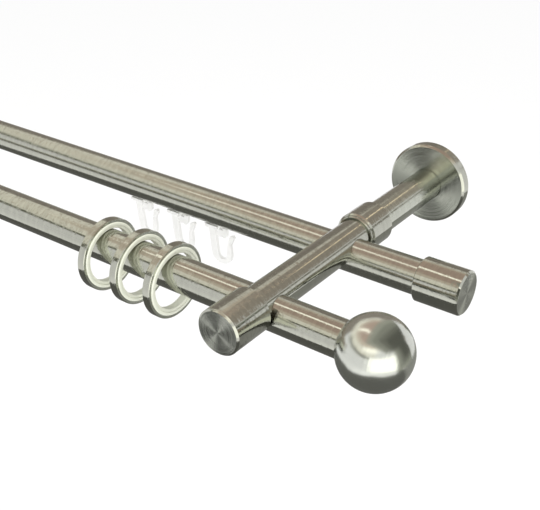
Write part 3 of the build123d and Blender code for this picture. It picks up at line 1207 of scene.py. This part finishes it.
@dataclass
class Studio:
    """The floor, the lamps, the cards and the camera."""

    floor_height: float = -0.6
    lamp_distance: float = 1.6
    table_height: float = -0.55
    table_split: float = 0.25
    strip_height: float = 0.95
    azimuth: float = 36.324
    elevation: float = 29.247
    roll: float = 0.1607
    camera_place: Triple = (0.22274, -0.47845, 0.23418)
    focal_length: float = 58.44

    def build(self) -> None:
        """Builds the whole studio."""
        self.build_floor()
        self.build_lamps()
        self.build_panels()
        self.build_camera()
        scene = bpy.context.scene
        scene.view_settings.view_transform = "Standard"

    def build_floor(self) -> None:
        """Lays the plain pale floor and sets the pale surroundings."""
        made = bmesh.new()
        bmesh.ops.create_grid(made, x_segments=2, y_segments=2, size=8)
        for vert in made.verts:
            vert.co.z = self.floor_height
        floor = finished("floor", made)
        material = bpy.data.materials.new("floor_paint")
        tree = Tree(material)
        tree.surface(tree.node("ShaderNodeBsdfDiffuse", None, {"Color": (0.99, 0.99, 0.99, 1)}))
        floor.data.materials.append(material)
        world = bpy.data.worlds.new("surroundings")
        bpy.context.scene.world = world
        tree = Tree(world)
        glow = tree.node("ShaderNodeBackground", None, {"Color": (1, 1, 1, 1), "Strength": 0.97})
        tree.node("ShaderNodeOutputWorld", None, {"Surface": glow.outputs[0]})

    def build_lamps(self) -> None:
        """Hangs one soft lamp over the object and one large weak one in front."""
        self.build_lamp("overhead_lamp", (0.15, -0.10, 0.98), 0.2, 6.0, (1.0, 0.97, 0.90))
        self.build_lamp("front_lamp", (0.30, -0.85, 0.20), 1.0, 6.0, (1.0, 1.0, 1.0))

    def build_lamp(self, name: str, way: Triple, size: float, power: float, colour: Triple) -> None:
        """Hangs one square lamp that points at the object and keeps out of its reflections.

        Args:
            name: The lamp's name.
            way: The direction from the object to the lamp.
            size: Its width in metres.
            power: Its power in watts.
            colour: Its colour.
        """
        lamp = bpy.data.lights.new(name, "AREA")
        lamp.shape = "SQUARE"
        lamp.size = size
        lamp.energy = power
        lamp.color = colour
        hung = bpy.data.objects.new(name, lamp)
        out = Vector(way).normalized()
        hung.location = Vector(MIDDLE) + out * self.lamp_distance
        hung.rotation_mode = "QUATERNION"
        hung.rotation_quaternion = out.to_track_quat("Z", "Y")
        hung.visible_glossy = False
        bpy.context.scene.collection.objects.link(hung)

    @staticmethod
    def build_card(name: str, corners: list[Triple], colour: Triple) -> None:
        """Hangs a flat card that shows only in the object's reflections.

        Args:
            name: The card's name.
            corners: Its corners in metres.
            colour: Its colour.
        """
        made = bmesh.new()
        made.faces.new([made.verts.new(corner) for corner in corners])
        glowing(finished(name, made), colour)

    def build_panels(self) -> None:
        """Stands the panels that give the steel its dark and light bands."""
        brown = (0.33, 0.295, 0.26)
        tan = (0.45, 0.40, 0.35)
        for panel in (
            Panel("panel_gap_front", (-170, -60), (24, 31), (0.20, 0.20, 0.16), lean=-14),
            Panel("panel_gap_right", (15, 60), (12, 18), (0.30, 0.28, 0.24)),
            Panel("softbox_right", (-72, 5), (-20, 17), (1.9, 1.9, 1.78), distance=1.2),
            Panel("softbox_low", (5, 25), (-24, -9), (1.6, 1.6, 1.5), distance=1.2),
            Panel("softbox_high", (-95, -50), (30, 42), (1.7, 1.66, 1.5), distance=2.02),
            Panel("panel_cream_left", (-225, -60), (30, 47), (1.10, 1.06, 0.94), distance=2.05, lean=-11),
            Panel("panel_back_left", (90, 180), (-8, 30), brown),
            Panel("panel_back_light", (104, 144), (33, 44), (0.86, 0.82, 0.74), distance=2.04),
            Panel("panel_back_right", (40, 104), (21, 50), tan),
            Panel("panel_back_upper", (90, 135), (30, 33), brown, distance=2.03),
            Panel("panel_ceiling_low", (-180, 180), (40, 51), (0.78, 0.68, 0.57), distance=2.1),
            Panel("panel_ceiling", (-180, 180), (51, 90), (0.60, 0.46, 0.39), distance=2.1),
        ):
            panel.build()
        edge = ((-180, 1.10), (-155, 1.07), (-135, 0.95), (-118, 0.74), (-100, 0.80), (-58, 0.98))
        edge += ((-20, 0.96), (0, 1.0), (30, 2.1), (130, 2.1), (150, 1.3))
        ways = [(math.radians(turn), far) for turn, far in edge]
        rim = [(far * math.cos(turn) + MIDDLE[0], far * math.sin(turn) + MIDDLE[1]) for turn, far in ways]
        table, split = self.table_height, self.table_split
        near = [(x, min(y, split), table) for x, y in rim]
        back = [(x, max(y, split), table - MM) for x, y in rim]
        self.build_card("card_table_near", near, (0.15, 0.15, 0.14))
        self.build_card("card_table_back", back, (0.33, 0.33, 0.31))
        self.build_ball_cards()
        along_rods = [(-0.85, -0.28), (-0.38, -0.25), (-0.20, -0.37), (-0.20, -0.23), (-0.38, -0.12)]
        along_rods.append((-0.85, -0.14))
        along_arms = [(0.23, 0.85), (0.33, 0.85), (0.03, 1.45), (-0.05, 1.45)]
        above = self.strip_height
        self.build_card("strip_along_rods", [(x, y, above) for x, y in along_rods], (1.9, 1.82, 1.62))
        self.build_card("strip_along_arms", [(x, y, above) for x, y in along_arms], (1.8, 1.5, 1.1))

    def build_ball_cards(self) -> None:
        """Hangs dark cards in steps beside and over the right ball."""
        right, back, high = 0.124, -0.124, 0.032
        for step, shade in enumerate((0.42, 0.30, 0.20, 0.13)):
            inset, gap = 0.008 * step, 0.0004 * step
            left, front, low = 0.062 + inset, -0.212 + inset, -0.026 + inset
            near, side, top = front + 0.024, right - gap, high - gap
            colour = (shade, shade * 1.02, shade * 0.88)
            beside = [(side, near, low), (side, back, low), (side, back, high), (side, near, high)]
            over = [(left, front, top), (right, front, top), (right, back, top), (left, back, top)]
            self.build_card(f"card_beside_ball_{step}", beside, colour)
            self.build_card(f"card_over_ball_{step}", over, colour)

    def build_camera(self) -> None:
        """Sets the camera at the photo's viewing angle."""
        turn, rise = math.radians(self.azimuth), math.radians(self.elevation)
        back = Vector((math.sin(turn) * math.cos(rise), -math.cos(turn) * math.cos(rise), math.sin(rise)))
        data = bpy.data.cameras.new("camera")
        data.sensor_width = 36
        data.lens = self.focal_length
        data.clip_start = 0.01
        camera = bpy.data.objects.new("camera", data)
        camera.location = self.camera_place
        camera.rotation_mode = "QUATERNION"
        tilt = Quaternion((0, 0, 1), math.radians(self.roll))
        camera.rotation_quaternion = (-back).to_track_quat("-Z", "Y") @ tilt
        bpy.context.scene.collection.objects.link(camera)
        bpy.context.scene.camera = camera


def main() -> None:
    """Builds the whole object and its studio."""
    logging.basicConfig(level=logging.INFO, format="%(message)s")
    Studio().build()
    FrontTube().build()
    RearTrack().build()
    for side, place in ((Side.RIGHT, 0.0), (Side.LEFT, LEFT_BRACKET)):
        Bracket(side, place).build()
    RunEnd(Side.RIGHT, RUN_RIGHT, 1).build()
    RunEnd(Side.LEFT, RUN_LEFT, -1).build()
    for number in (1, 2, 3):
        CurtainRing(number, RING_NEAREST - RING_STEP * (3 - number)).build()
        Glider(number, GLIDER_NEAREST - GLIDER_STEP * (3 - number)).build()
    Hardware().build()


if __name__ == "__main__":
    main()
